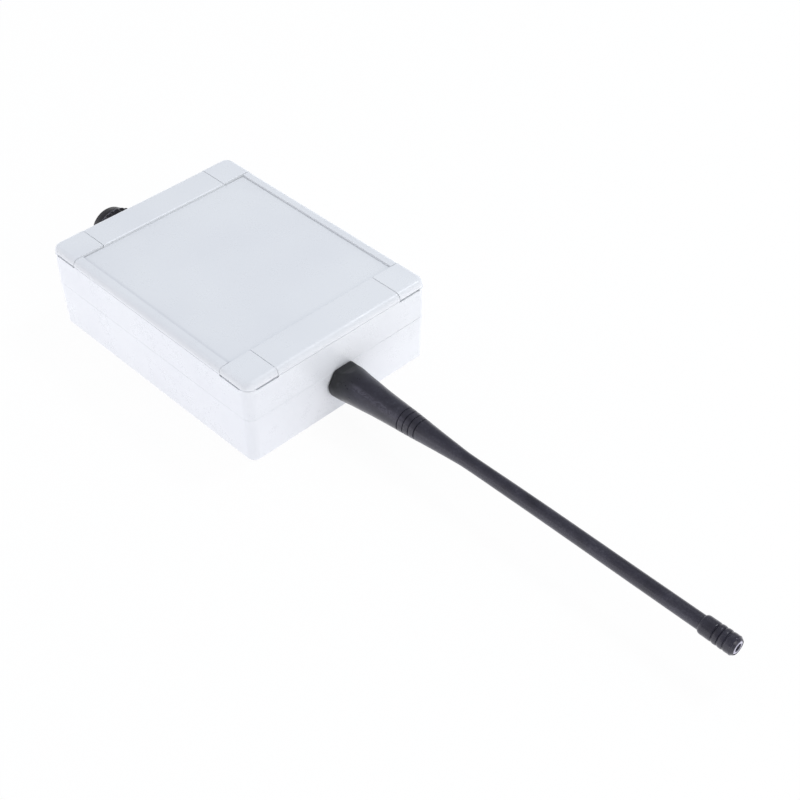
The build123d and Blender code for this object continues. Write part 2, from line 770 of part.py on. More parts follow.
def capacitors():
    large = Pos(capacitor_x, capacitor_y, board_top) * capacitor(capacitor_diameter, capacitor_height)
    small_x = capacitor_x + capacitor_diameter / 2 + capacitor_small_diameter / 2 + 2
    small = Pos(small_x, capacitor_y, board_top) * capacitor(capacitor_small_diameter, capacitor_small_height)
    return group([large, small])


def voltage_regulator():
    lead_rise = 3.0
    half = regulator_width / 2
    back = regulator_thickness / 2
    body_top = lead_rise + regulator_body_height
    body = block(-half, half, -back, back, lead_rise, body_top)
    tab = block(-half, half, back - regulator_tab_thickness, back, lead_rise, body_top + regulator_tab_height)
    hole = Rot(90, 0, 0) * Cylinder(regulator_hole / 2, regulator_thickness)
    body += tab - Pos(0, back, body_top + regulator_tab_height / 2) * hole
    for index in (-1, 0, 1):
        body += Pos(index * 2.54, 0, lead_rise / 2) * Box(0.8, 0.5, lead_rise)
    return Pos(regulator_x, regulator_y, board_top) * body


def pairing_switch():
    body = Pos(0, 0, switch_height / 2) * Box(switch_size, switch_size, switch_height)
    body = chamfer(body.edges().filter_by(Axis.Z), 0.5)
    body -= rod(button_diameter + 0.6, switch_height - button_travel - 0.9, switch_height + 1)
    return Pos(switch_x, switch_y, board_top) * body


def pairing_button():
    low = board_top + switch_height - 0.5
    button = rod(button_diameter, low, low + button_height, switch_x, switch_y)
    return fillet(button.faces().sort_by(Axis.Z)[-1].edges(), 0.3)


def status_led():
    lens = rod(led_diameter, 0.8, 4.0)
    lens = fillet(lens.faces().sort_by(Axis.Z)[-1].edges(), led_diameter / 2 - 0.05)
    flange = rod(led_diameter + 0.8, 0, 1.0)
    return Pos(led_x, led_y, board_top) * (lens + flange)


parts = {
    "base_shell": base_shell,
    "lid": lid,
    "lid_seal": lid_seal,
    "lid_screws": lid_screws,
    "screw_inserts": screw_inserts,
    "corner_cover_front_right": lambda: corner_cover(1, -1),
    "corner_cover_front_left": lambda: corner_cover(1, 1),
    "corner_cover_rear_right": lambda: corner_cover(-1, -1),
    "corner_cover_rear_left": lambda: corner_cover(-1, 1),
    "antenna_sleeve": antenna_sleeve,
    "antenna_tip_cap": antenna_tip_cap,
    "antenna_tip_liner": antenna_tip_liner,
    "antenna_radiator": antenna_radiator,
    "antenna_stud": antenna_stud,
    "antenna_socket": antenna_socket,
    "antenna_lock_washer": antenna_lock_washer,
    "antenna_socket_nut": antenna_socket_nut,
    "feed_wire": feed_wire,
    "gland_body": gland_body,
    "gland_washer": gland_washer,
    "gland_locknut": gland_locknut,
    "gland_seal": gland_seal,
    "gland_claw": gland_claw,
    "gland_dome_nut": gland_dome_nut,
    "circuit_board": circuit_board,
    "board_screws": board_screws,
    "terminal_block": terminal_block,
    "terminal_screws": terminal_screws,
    "rf_module": rf_module,
    "rf_shield": rf_shield,
    "controller_chip": controller_chip,
    "crystal": crystal,
    "capacitors": capacitors,
    "voltage_regulator": voltage_regulator,
    "pairing_switch": pairing_switch,
    "pairing_button": pairing_button,
    "status_led": status_led,
}

for name, make in parts.items():
    export_step(make(), f"parts/{name}.step")
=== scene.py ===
import json
import math

import bmesh
import bpy
from mathutils import Matrix, Vector


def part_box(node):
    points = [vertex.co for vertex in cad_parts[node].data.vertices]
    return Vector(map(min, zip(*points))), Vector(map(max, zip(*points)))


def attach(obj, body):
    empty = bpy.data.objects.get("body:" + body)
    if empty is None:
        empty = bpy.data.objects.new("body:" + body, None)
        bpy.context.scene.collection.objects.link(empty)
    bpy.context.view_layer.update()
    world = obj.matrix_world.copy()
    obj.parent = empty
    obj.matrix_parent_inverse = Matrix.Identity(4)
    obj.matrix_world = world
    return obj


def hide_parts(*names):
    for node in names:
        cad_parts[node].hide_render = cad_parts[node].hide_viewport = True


# Looks for a wired radio transmitter: pale two-part case, rubber whip, cable gland.
# Shapes and patterns are in millimetres, and MM turns them into metres. The stage is in metres.

MM = 0.001

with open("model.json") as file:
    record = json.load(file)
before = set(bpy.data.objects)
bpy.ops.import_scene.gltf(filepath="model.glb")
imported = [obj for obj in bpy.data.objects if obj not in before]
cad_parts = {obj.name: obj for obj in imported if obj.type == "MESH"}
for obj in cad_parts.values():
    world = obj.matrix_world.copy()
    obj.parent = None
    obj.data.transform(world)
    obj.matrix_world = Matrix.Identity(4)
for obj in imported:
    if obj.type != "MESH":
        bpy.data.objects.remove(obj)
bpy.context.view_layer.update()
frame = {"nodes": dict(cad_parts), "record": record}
nodes = frame["nodes"]


def middle(node_name):
    """The middle of a CAD node's box, in millimetres."""
    low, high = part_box(node_name)
    return [round((low[axis] + high[axis]) / 2 / MM, 3) for axis in range(3)]


# The case's end faces are this far from its middle along X, and the whip's bow lifts its tip by TIP_RISE.
CASE_END = round(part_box("lid")[1].x / MM, 3)
ANTENNA_Z = middle("antenna_radiator")[2]
TIP_RISE = 1.76
GLAND_Y = middle("gland_dome_nut")[1]
GLAND_Z = middle("gland_dome_nut")[2]
BOARD_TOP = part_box("circuit_board")[1].z / MM
FOUR_CORNERS = ((1, 1), (1, -1), (-1, 1), (-1, -1))


# Node helpers

class Nodes:
    """Short ways to add nodes to a tree."""

    def __init__(self, tree):
        self.tree = tree

    def feed(self, value, socket):
        """Joins an output to a socket, or sets the socket to a plain value."""
        if isinstance(value, bpy.types.NodeSocket):
            self.tree.links.new(value, socket)
        else:
            socket.default_value = value

    def add(self, kind, values=None, operation=None):
        node = self.tree.nodes.new(kind)
        if operation:
            node.operation = operation
        for socket, value in (values or {}).items():
            self.feed(value, node.inputs[socket])
        return node

    def maths(self, operation, first, second):
        return self.add("ShaderNodeMath", {0: first, 1: second}, operation).outputs[0]

    def plus(self, first, second):
        return self.maths("ADD", first, second)

    def times(self, first, second):
        return self.maths("MULTIPLY", first, second)

    def spread(self, value, low, high, to_low=0.0, to_high=1.0):
        """Carries a value over from between low and high to between to_low and to_high."""
        limits = {"From Min": low, "From Max": high, "To Min": to_low, "To Max": to_high}
        return self.add("ShaderNodeMapRange", {"Value": value, **limits}).outputs["Result"]

    def axes(self, place):
        """The X, Y and Z outputs of a place."""
        return self.add("ShaderNodeSeparateXYZ", {0: place}).outputs

    def seen(self):
        """1 for what is seen straight, mirrored or through the lens, and 0 for what only lights things."""
        rays = self.add("ShaderNodeLightPath").outputs
        straight_or_mirrored = self.maths("MAXIMUM", rays["Is Camera Ray"], rays["Is Glossy Ray"])
        return self.maths("MAXIMUM", straight_or_mirrored, rays["Is Transmission Ray"])

    def finish_with(self, share, first, second, output_name):
        """The tree's result is first where share is 0 and second where it is 1."""
        mix = self.add("ShaderNodeMixShader", {0: share, 1: first, 2: second})
        self.feed(mix.outputs[0], self.tree.nodes[output_name].inputs["Surface"])


# Materials

# Most of a noise pattern's values lie between these. The narrower pair gives clearer clouds.
NOISE_RANGE = (0.3, 0.7)
CLOUD_RANGE = (0.35, 0.65)


def srgb(red, green, blue):
    def linear(value):
        value /= 255
        return value / 12.92 if value <= 0.04045 else ((value + 0.055) / 1.055) ** 2.4
    return (linear(red), linear(green), linear(blue), 1.0)


# Painted marks. Along an axis each begins, is full, is still full and ends.
# Painted shade darkens the rounded long top edge on the -Y side, and a thin line of painted shade lies along
# the right-hand rim of the recess.
SHADED_TOP_EDGE = (srgb(219, 221, 223), (("Y", -39.0, -39.8, -41, -42), ("Z", 31.0, 31.8, 34, 35)))
SHADED_RECESS_RIM = (srgb(213, 215, 219), (("Y", -36.4, -36.25, -35.8, -34.4), ("Z", 32.6, 32.65, 34, 35),
                                   ("X", -39.3, -39.2, 39.2, 39.3)))
# Painted highlights: the end strip's edge and the rim of the gland's nut are painted paler.
HIGHLIT_STRIP_EDGE = (srgb(241, 243, 246), (("X", -40.05, -39.85, -39.6, -39.4), ("Z", 33.1, 33.2, 34, 35),
                                      ("Y", -26, -25.5, 25.5, 26)))
HIGHLIT_NUT_RIM = (srgb(96, 95, 106), (("X", -71.1, -70.95, -70.6, -70.4),))


class Finish(Nodes):
    """A material whose patterns stay in the object's own place."""

    def __init__(self, name, roughness, metallic=0.0, ior=1.5):
        self.material = bpy.data.materials.new(name)
        self.material.use_nodes = True
        super().__init__(self.material.node_tree)
        self.shader = self.tree.nodes["Principled BSDF"]
        self.shader.inputs["Metallic"].default_value = metallic
        self.shader.inputs["IOR"].default_value = ior
        self.shader.inputs["Roughness"].default_value = roughness
        self.place = self.add("ShaderNodeTexCoord").outputs["Object"]

    def stretched(self, stretch):
        """The place, scaled along each axis, so that a pattern is longer where stretch is below 1."""
        if stretch is None:
            return self.place
        return self.add("ShaderNodeMapping", {"Vector": self.place, "Scale": stretch}).outputs["Vector"]

    def noise(self, size, detail=3.0, roughness=0.55, stretch=None, distortion=0.0):
        values = {"Vector": self.stretched(stretch), "Scale": 1 / (size * MM), "Detail": detail,
                  "Roughness": roughness, "Distortion": distortion}
        return self.add("ShaderNodeTexNoise", values).outputs["Fac"]

    def cells(self, size, stretch=None):
        values = {"Vector": self.stretched(stretch), "Scale": 1 / (size * MM)}
        return self.add("ShaderNodeTexVoronoi", values).outputs["Distance"]

    def vary(self, pattern, low, high):
        """A noise pattern carried over to values between low and high."""
        return self.spread(pattern, *NOISE_RANGE, low, high)

    def ramp(self, distance, begins, full):
        """0 before begins and 1 past full."""
        return self.spread(distance, begins * MM, full * MM)

    def band(self, distance, begins, full, still_full, ends):
        """1 from full to still_full, and 0 before begins and past ends."""
        return self.times(self.ramp(distance, begins, full), self.ramp(distance, ends, still_full))

    def blend(self, share, first, second):
        """first where share is 0 and second where it is 1. Each is a colour or an output."""
        node = self.tree.nodes.new("ShaderNodeMix")
        node.data_type = "RGBA"
        # The colour sockets share their names with other kinds of value, so they go by number.
        for socket, value in (("Factor", share), (6, first), (7, second)):
            self.feed(value, node.inputs[socket])
        return node.outputs[2]

    def two_tone(self, pattern, first, second, limits=CLOUD_RANGE):
        """first where the pattern is low and second where it is high."""
        return self.blend(self.spread(pattern, *limits), first, second)

    def marked(self, tone, marks):
        """Lays marks over a tone. A mark is a colour, and a band along each of some axes."""
        axes = self.axes(self.place)
        for colour, bands in marks:
            share = 1.0
            for axis, *limits in bands:
                share = self.times(share, self.band(axes[axis], *limits))
            tone = self.blend(share, tone, colour)
        return tone

    def colour(self, value):
        self.feed(value, self.shader.inputs["Base Color"])

    def gloss(self, value):
        self.feed(value, self.shader.inputs["Roughness"])

    def relief(self, height, depth, below=None):
        """Bumps the surface, on top of the relief below if there is one."""
        values = {"Height": height, "Strength": 1.0, "Distance": depth * MM}
        if below is not None:
            values["Normal"] = below
        normal = self.add("ShaderNodeBump", values).outputs["Normal"]
        self.feed(normal, self.shader.inputs["Normal"])
        return normal


def moulded_plastic(name, pale, dark, roughness, grain, grain_depth, marks=()):
    # A spark-eroded mould surface: fine even grain, with faint flow marks and handling sheen.
    finish = Finish(name, roughness)
    tone = finish.two_tone(finish.noise(38, detail=2), pale, dark)
    finish.colour(finish.marked(tone, marks))
    handling = finish.vary(finish.noise(9), -0.05, 0.05)
    grain_sheen = finish.vary(finish.noise(grain, detail=1), roughness - 0.04, roughness + 0.04)
    finish.gloss(finish.plus(handling, grain_sheen))
    fine = finish.relief(finish.noise(grain, detail=2, roughness=0.6), grain_depth)
    finish.relief(finish.noise(6, detail=2), 0.02, below=fine)
    return finish.material


def case_plastic(name, pale, marks):
    return moulded_plastic(name, pale, srgb(224, 226, 229), 0.31, 0.35, 0.012, marks)


def plain_metal(name, pale, dark, roughness, stretch):
    # Fine scratches, which stretch makes longer along the way the metal was worked.
    finish = Finish(name, roughness, metallic=1.0)
    scratches = finish.noise(0.6, roughness=0.6, stretch=stretch)
    finish.colour(finish.two_tone(finish.noise(4, detail=2), pale, dark, NOISE_RANGE))
    finish.gloss(finish.vary(scratches, roughness - 0.08, roughness + 0.1))
    finish.relief(scratches, 0.006)
    return finish.material


def antenna_rubber():
    # Satin rubber that has been handled: cloudy scuffs, pale rubbed specks, fine grain.
    finish = Finish("antenna_rubber", 0.34, ior=1.48)
    axes = finish.axes(finish.place)
    clouds = finish.noise(7, detail=5, roughness=0.62, stretch=(0.6, 1, 1), distortion=0.6)
    specks = finish.noise(0.7, roughness=0.6)
    rubbed = finish.times(finish.spread(clouds, 0.42, 0.72), finish.spread(specks, 0.45, 0.75))
    tone = finish.two_tone(clouds, srgb(37, 36, 47), srgb(48, 47, 60))
    tone = finish.blend(rubbed, tone, srgb(73, 72, 82))

    # Along the cone one side carries a painted highlight, broken up by pale scuffs in scribbles. The side is
    # the one towards +Y and +Z.
    side = finish.plus(finish.times(axes["Z"], 0.611), finish.times(axes["Y"], 0.792))
    highlight_and_scuffs = finish.times(finish.band(side, 5.8, 7.3, 8.3, 9.0), finish.band(axes["X"], 60, 64, 80, 92))
    scribble = finish.noise(2.2, detail=4, roughness=0.7, stretch=(0.7, 1, 1), distortion=2.5)
    highlight_and_scuffs = finish.times(highlight_and_scuffs, finish.spread(scribble, 0.42, 0.6, 0.1, 0.8))
    tone = finish.blend(highlight_and_scuffs, tone, srgb(76, 74, 86))

    # The thick foot next to the case is painted darker, as painted shade.
    past_foot = finish.ramp(axes["X"], 56.5, 63.5)
    finish.colour(finish.blend(past_foot, srgb(22, 23, 27), tone))

    # The shoulder at the tip is polished by handling.
    polish = finish.times(finish.band(axes["X"], 211.5, 211.8, 212.7, 213.1), 0.22)
    rough = finish.plus(finish.vary(clouds, 0.28, 0.4), finish.vary(specks, -0.05, 0.07))
    finish.gloss(finish.maths("SUBTRACT", rough, polish))

    fine = finish.relief(finish.noise(0.35, detail=2), 0.012)
    finish.relief(finish.noise(2.6), 0.035, below=fine)
    return finish.material


def black_nylon():
    finish = Finish("gland_nylon", 0.4, ior=1.38)
    clouds = finish.noise(1.6)
    tone = finish.two_tone(clouds, srgb(15, 15, 21), srgb(30, 29, 37), NOISE_RANGE)
    # The rim of the nut carries a painted highlight.
    finish.colour(finish.marked(tone, (HIGHLIT_NUT_RIM,)))
    finish.gloss(finish.vary(clouds, 0.34, 0.48))
    finish.relief(finish.noise(0.5), 0.02)
    return finish.material


def board_laminate():
    # Green solder mask over the weave of the laminate.
    finish = Finish("board_laminate", 0.28)
    weave = finish.cells(0.55, stretch=(1, 1, 0.2))
    finish.colour(finish.two_tone(weave, srgb(18, 96, 52), srgb(14, 78, 42), (0.1, 0.7)))
    finish.gloss(finish.vary(finish.noise(3, detail=2), 0.24, 0.36))
    finish.relief(weave, 0.01)
    return finish.material


def tube_plastic():
    # The pale tube in the tip: painted shade darkens it down its bore, and it is pale at the mouth.
    finish = Finish("liner_plastic", 0.4)
    axes = finish.axes(finish.place)
    above = finish.maths("SUBTRACT", axes["Z"], (ANTENNA_Z + TIP_RISE) * MM)
    radius_squared = finish.plus(finish.times(above, above), finish.times(axes["Y"], axes["Y"]))
    mouth = finish.spread(radius_squared, 1.75 * MM ** 2, 2.3 * MM ** 2)
    pale = finish.two_tone(finish.noise(1.5), srgb(190, 188, 202), srgb(176, 174, 190))
    finish.colour(finish.blend(mouth, srgb(58, 57, 68), pale))
    finish.gloss(finish.vary(finish.noise(0.6, detail=2), 0.38, 0.5))
    return finish.material


def clear_lens():
    finish = Finish("led_lens", 0.12)
    tint = finish.two_tone(finish.noise(2, detail=2), srgb(190, 34, 26), srgb(168, 24, 20), NOISE_RANGE)
    finish.colour(tint)
    finish.shader.inputs["Transmission Weight"].default_value = 0.35
    finish.relief(finish.noise(1.5, detail=1), 0.004)
    return finish.material


# Pale and dark tone, roughness, size of the grain and its depth.
MOULDED = {
    "seal_rubber": (srgb(40, 40, 43), srgb(32, 32, 34), 0.7, 0.5, 0.03),
    "terminal_plastic": (srgb(42, 134, 78), srgb(36, 120, 70), 0.42, 0.4, 0.01),
    "chip_plastic": (srgb(38, 38, 41), srgb(30, 30, 33), 0.5, 0.12, 0.008),
    "capacitor_can": (srgb(40, 48, 72), srgb(34, 42, 64), 0.3, 0.8, 0.004),
    "button_plastic": (srgb(52, 52, 55), srgb(44, 44, 47), 0.45, 0.25, 0.008),
    "track_green": (srgb(36, 126, 72), srgb(30, 112, 63), 0.3, 0.5, 0.004),
    "board_ink": (srgb(232, 232, 226), srgb(220, 220, 213), 0.6, 0.2, 0.004),
    "ceramic_tan": (srgb(176, 140, 98), srgb(160, 126, 88), 0.4, 0.3, 0.004),
}
# Pale and dark tone, roughness, and the stretch of the scratches.
METALS = {
    "screw_steel": (srgb(196, 198, 202), srgb(180, 183, 188), 0.3, (1, 1, 1)),
    "brass": (srgb(214, 182, 110), srgb(198, 164, 94), 0.28, (1, 0.2, 0.2)),
    "tinned_copper": (srgb(206, 200, 192), srgb(190, 182, 172), 0.3, (1, 1, 1)),
    "tinned_steel": (srgb(206, 208, 210), srgb(190, 192, 195), 0.26, (0.15, 1, 1)),
}
MATERIALS = {
    # The case carries painted shade on its top edge and recess rim, and a painted highlight on the end
    # strip's edge. The covers carry the painted shade on the top edge.
    "case_plastic": case_plastic("case_plastic", srgb(228, 230, 232), (SHADED_TOP_EDGE, SHADED_RECESS_RIM, HIGHLIT_STRIP_EDGE)),
    "cover_plastic": case_plastic("cover_plastic", srgb(230, 232, 234), (SHADED_TOP_EDGE,)),
    "antenna_rubber": antenna_rubber(),
    "liner_plastic": tube_plastic(),
    "gland_nylon": black_nylon(),
    "board_laminate": board_laminate(),
    "led_lens": clear_lens(),
}
for name, look in MOULDED.items():
    MATERIALS[name] = moulded_plastic(name, *look)
for name, look in METALS.items():
    MATERIALS[name] = plain_metal(name, *look)

for row in frame["record"]["subparts"]:
    node_materials = nodes[row["node"]].data.materials
    node_materials.clear()
    node_materials.append(MATERIALS[row["material_slot"]])


# Mesh helpers

SAME_POINT = 1e-7
SHARP_EDGE = math.radians(40)


def piece(name, vertices, faces, slot, body, replaces=(), material=None):
    """A mesh that rides on a body. It has its slot's material unless another is named."""
    mesh = bpy.data.meshes.new(name)
    mesh.from_pydata([(x * MM, y * MM, z * MM) for x, y, z in vertices], [], faces)
    work = bmesh.new()
    work.from_mesh(mesh)
    bmesh.ops.remove_doubles(work, verts=work.verts, dist=SAME_POINT)
    bmesh.ops.recalc_face_normals(work, faces=work.faces)
    for edge in work.edges:
        edge.smooth = not edge.is_manifold or edge.calc_face_angle(0) < SHARP_EDGE
    for face in work.faces:
        face.smooth = True
    work.to_mesh(mesh)
    work.free()
    obj = bpy.data.objects.new(name, mesh)
    bpy.context.scene.collection.objects.link(obj)
    mesh.materials.append(MATERIALS[material or slot])
    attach(obj, body)
    if replaces:
        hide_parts(*replaces)


def evenly(start, end, steps):
    return [start + (end - start) * index / steps for index in range(steps + 1)]


def lathe(profile, segments, point):
    """Turns a profile of (along, radius) pairs. point(along, radius, angle) gives a vertex."""
    vertices, faces = [], []
    for along, radius in profile:
        for index in range(segments):
            vertices.append(point(along, radius, 2 * math.pi * index / segments))
    for ring in range(len(profile) - 1):
        for index in range(segments):
            following = (index + 1) % segments
            low = ring * segments
            high = low + segments
            faces.append((low + index, low + following, high + following, high + index))
    return vertices, faces


def turned_piece(name, node_name, slot, body, profile, segments, point):
    """A lathed piece that stands for one CAD node."""
    vertices, faces = lathe(profile, segments, point)
    piece(name, vertices, faces, slot, body, replaces=(node_name,))


def smooth_line(points):
    """A monotone cubic through (x, y) points, returned as a function."""
    xs = [p[0] for p in points]
    ys = [p[1] for p in points]
    steps = [(ys[i + 1] - ys[i]) / (xs[i + 1] - xs[i]) for i in range(len(xs) - 1)]
    slopes = [steps[0]]
    for before, after in zip(steps, steps[1:]):
        slopes.append(0.0 if before * after <= 0 else 2 * before * after / (before + after))
    slopes.append(steps[-1])

    def value(x):
        if x <= xs[0]:
            return ys[0]
        if x >= xs[-1]:
            return ys[-1]
        i = max(k for k in range(len(xs) - 1) if xs[k] <= x)
        width = xs[i + 1] - xs[i]
        t = (x - xs[i]) / width
        return ((2 * t ** 3 - 3 * t ** 2 + 1) * ys[i] + (t ** 3 - 2 * t ** 2 + t) * width * slopes[i]
                + (3 * t ** 2 - 2 * t ** 3) * ys[i + 1] + (t ** 3 - t ** 2) * width * slopes[i + 1])
    return value


def groove(distance, width, depth):
    """How deep a rounded groove is at a distance from its middle."""
    share = abs(distance) / (width / 2)
    return depth * (1 - share ** 4) ** 0.5 if share < 1 else 0.0


def valley(distance, reach, depth):
    """How far the lands fall away beside a groove."""
    return depth * max(0.0, 1 - abs(distance) / reach) ** 2


# Antenna. Stations are along the whip from the case's end, and radii are from its own line.

SLEEVE_START = 0.3
SHAFT_START = 62
SLEEVE_END = 148.1
LINER_START = 155.9
TIP_END = 160.42
WIRE_BORE = 0.9
STUD_BORE = 4.9

sleeve_radius = smooth_line([(SLEEVE_START, 6.78), (4, 6.56), (8.8, 6.03), (13.5, 5.58), (18.2, 5.12),
                             (22.8, 4.79), (27.4, 4.49), (31.9, 4.2), (38.6, 3.7), (45.2, 3.2), (51.7, 2.76),
                             (57, 2.46), (SHAFT_START, 2.42), (80, 2.46), (149, 2.46)])
# The whip bows slightly upwards.
whip_rise = smooth_line([(0, 0), (15, 0.5), (35, 1.15), (65, 1.75), (90, 1.92), (128, 1.8), (162, TIP_RISE)])

RING_GROOVES = [30.0 + 2.37 * index for index in range(4)]
LAND_START = 0.21
LAND_LENGTH = 1.9
LAND_RISE = 0.07
# Width and depth of a ring's groove, then the reach and depth of the valley round it.
RING_GROOVE = (0.48, 0.32)
RING_VALLEY = (0.6, 0.08)

# Where each flat of the foot faces, and its distance from the whip's line.
FOOT_FLATS = ((0.0, 5.75), (1.05, 6.2), (-1.05, 6.2), (math.pi, 6.0))
FLATS_END = 3.0
FLATS_SLOPE = 0.22

TIP_PITCH = 1.95
TIP_GROOVES = [153.05 + TIP_PITCH * index for index in range(3)]
TIP_GROOVE = (0.44, 0.22)
TIP_VALLEY = (0.7, 0.18)
COLLAR_START = SLEEVE_END + 1.2
COLLAR_RADIUS = 3.08
SHOULDER_START = 159.14


def antenna_point(station, radius, angle):
    return (CASE_END + station, radius * math.sin(angle),
            ANTENNA_Z + whip_rise(station) + radius * math.cos(angle))


def sleeve_point(station, radius, angle):
    # The foot has a flat on top and fainter ones round it that run out along the cone.
    for direction, distance in FOOT_FLATS:
        limit = distance + max(0.0, station - FLATS_END) * FLATS_SLOPE
        turned = math.cos(angle - direction)
        if turned > 0 and radius * turned > limit:
            radius = limit / turned
    return antenna_point(station, radius, angle)


def sleeve_profile():
    stations = evenly(SLEEVE_START, SHAFT_START, 180) + evenly(SHAFT_START, SLEEVE_END, 60)
    for ring in RING_GROOVES:
        stations += evenly(ring - 0.5, ring + 0.5, 20)
    profile = []
    for station in sorted(set(round(station, 4) for station in stations)):
        radius = sleeve_radius(station)
        for ring in RING_GROOVES:
            radius -= groove(station - ring, *RING_GROOVE) + valley(station - ring, *RING_VALLEY)
            # Each land stands a little proud just after its groove.
            along_land = station - ring - LAND_START
            if 0 < along_land < LAND_LENGTH:
                radius += LAND_RISE * (1 - along_land / LAND_LENGTH)
        profile.append((station, radius))
    # The foot's rim is rounded off.
    profile[0] = (SLEEVE_START, profile[0][1] - 0.12)
    return [(SLEEVE_START, STUD_BORE)] + profile + [(SLEEVE_END, WIRE_BORE)]


def tip_profile():
    outline = [(SLEEVE_END, WIRE_BORE), (SLEEVE_END, 2.5), (SLEEVE_END + 0.15, 2.72),
               (SLEEVE_END + 0.5, 2.98), (SLEEVE_END + 1.0, 3.09)]
    for station in evenly(COLLAR_START, SHOULDER_START, 164):
        # The cap widens by 0.1 over its 11 mm.
        radius = COLLAR_RADIUS + 0.1 * (station - SLEEVE_END) / 11
        for ring in TIP_GROOVES:
            radius -= groove(station - ring, *TIP_GROOVE) + valley(station - ring, *TIP_VALLEY)
        # The lands swell between their grooves.
        if TIP_GROOVES[0] < station < TIP_GROOVES[-1]:
            radius += 0.05 * math.sin(math.pi * ((station - TIP_GROOVES[0]) % TIP_PITCH) / TIP_PITCH)
        outline.append((station, radius))
    # A rounded shoulder, then a short cone down to the tube, and back into the bore.
    outline += [(159.24, 3.21), (159.36, 3.2), (159.46, 3.17), (159.54, 3.12), (159.6, 3.06), (159.64, 2.99)]
    outline += [(159.84, 2.86), (160.1, 2.7), (160.28, 2.57), (160.38, 2.46), (160.4, 2.4), (160.4, 2.34)]
    return outline + [(LINER_START, 2.34), (LINER_START, WIRE_BORE)]


def tube_profile():
    """A tube with a rounded mouth. Its rim goes by the distance back from the tip's end."""
    bore = 1.15
    outside = 2.32
    rim = [(0.45, outside), (0.27, 2.24), (0.12, 2.08), (0.03, 1.88), (0.0, 1.68), (0.02, 1.5), (0.1, 1.36),
           (0.3, 1.25), (0.8, bore)]
    mouth = [(TIP_END - back, radius) for back, radius in rim]
    return [(LINER_START, bore), (LINER_START, outside)] + mouth + [(LINER_START, bore)]


def wire_profile():
    start = 5.4
    end = 155.4
    radius = 0.8
    length = [(station, radius) for station in evenly(start, end, 90)[:-1]]
    return [(start, 0.0)] + length + [(end - 0.1, 0.78), (end, 0.5), (end, 0.0)]


turned_piece("antenna_whip", "antenna_sleeve", "antenna_rubber", "antenna",
             sleeve_profile(), 96, sleeve_point)
turned_piece("antenna_end_cap", "antenna_tip_cap", "antenna_rubber", "antenna",
             tip_profile(), 80, antenna_point)
turned_piece("antenna_tip_tube", "antenna_tip_liner", "liner_plastic", "antenna",
             tube_profile(), 64, antenna_point)
turned_piece("antenna_wire", "antenna_radiator", "screw_steel", "antenna",
             wire_profile(), 20, antenna_point)


# Cable gland's dome nut: a fluted grip ring that closes with a plain tapered dome.
# Distances are outwards from the case's end.

NUT_START = 6.0
GRIP_END = 18.0
NUT_END = 22.8
GRIP_RADIUS = 9.45
MOUTH_ROUND = 0.9
FLUTES = 24
FLUTE_DEPTH = 0.6
FLUTE_FLOOR = 8.9
STEPS_PER_FLUTE = 14


def nut_profile():
    dome_end = NUT_END - MOUTH_ROUND
    dome = smooth_line([(GRIP_END, 8.6), (GRIP_END + 1.2, 8.42), (GRIP_END + 2.6, 8.12), (dome_end, 7.75)])
    profile = [(NUT_START, 7.75), (NUT_START, 8.6), (NUT_START + 0.3, 9.1), (NUT_START + 0.7, 9.38)]
    profile += [(out, GRIP_RADIUS) for out in evenly(NUT_START + 1.1, GRIP_END - 0.8, 20)]
    profile += [(GRIP_END - 0.55, 9.42), (GRIP_END - 0.3, 9.32), (GRIP_END - 0.12, 9.12), (GRIP_END, 8.85)]
    profile += [(GRIP_END + 0.02, 8.62)]
    profile += [(out, dome(out)) for out in evenly(GRIP_END, dome_end, 14)[1:]]
    for turn in evenly(0, math.pi / 2, 8)[1:]:
        profile.append((dome_end + MOUTH_ROUND * math.sin(turn), 7.75 + MOUTH_ROUND * (math.cos(turn) - 1)))
    # The mouth for the cable, and the hollow behind it.
    profile += [(NUT_END, 4.2), (NUT_END - 0.1, 3.95), (NUT_END - 0.35, 3.75), (NUT_END - 1.4, 3.7)]
    return profile + [(17.7, 7.65), (NUT_START + 0.3, 7.72), (NUT_START, 7.75)]


def nut_point(out, radius, angle):
    # Only the grip's surface is fluted, and the flutes run out towards its ends.
    flutes_start = NUT_START + 0.9
    if radius > FLUTE_FLOOR and flutes_start < out < GRIP_END:
        fade = min(1.0, (out - flutes_start) / 0.7, (GRIP_END - out) / 0.6)
        wave = (math.cos(angle * FLUTES) + 1) / 2
        radius -= FLUTE_DEPTH * fade * wave ** 2
    return (-CASE_END - out, GLAND_Y + radius * math.sin(angle), GLAND_Z + radius * math.cos(angle))


turned_piece("gland_cap", "gland_dome_nut", "gland_nylon", "gland_nut",
             nut_profile(), FLUTES * STEPS_PER_FLUTE, nut_point)


# Fine solids, gathered into one mesh for each piece

# A solder joint's shape, as shares of its height and radius.
SOLDER_CONE = ((0, 0), (0, 1), (0.15, 0.8), (0.45, 0.45), (1, 0.28), (1, 0))


def rectangle(x, y, length, width):
    """The corners of a rectangle round its middle, in order."""
    return [(x - length / 2, y - width / 2), (x + length / 2, y - width / 2),
            (x + length / 2, y + width / 2), (x - length / 2, y + width / 2)]


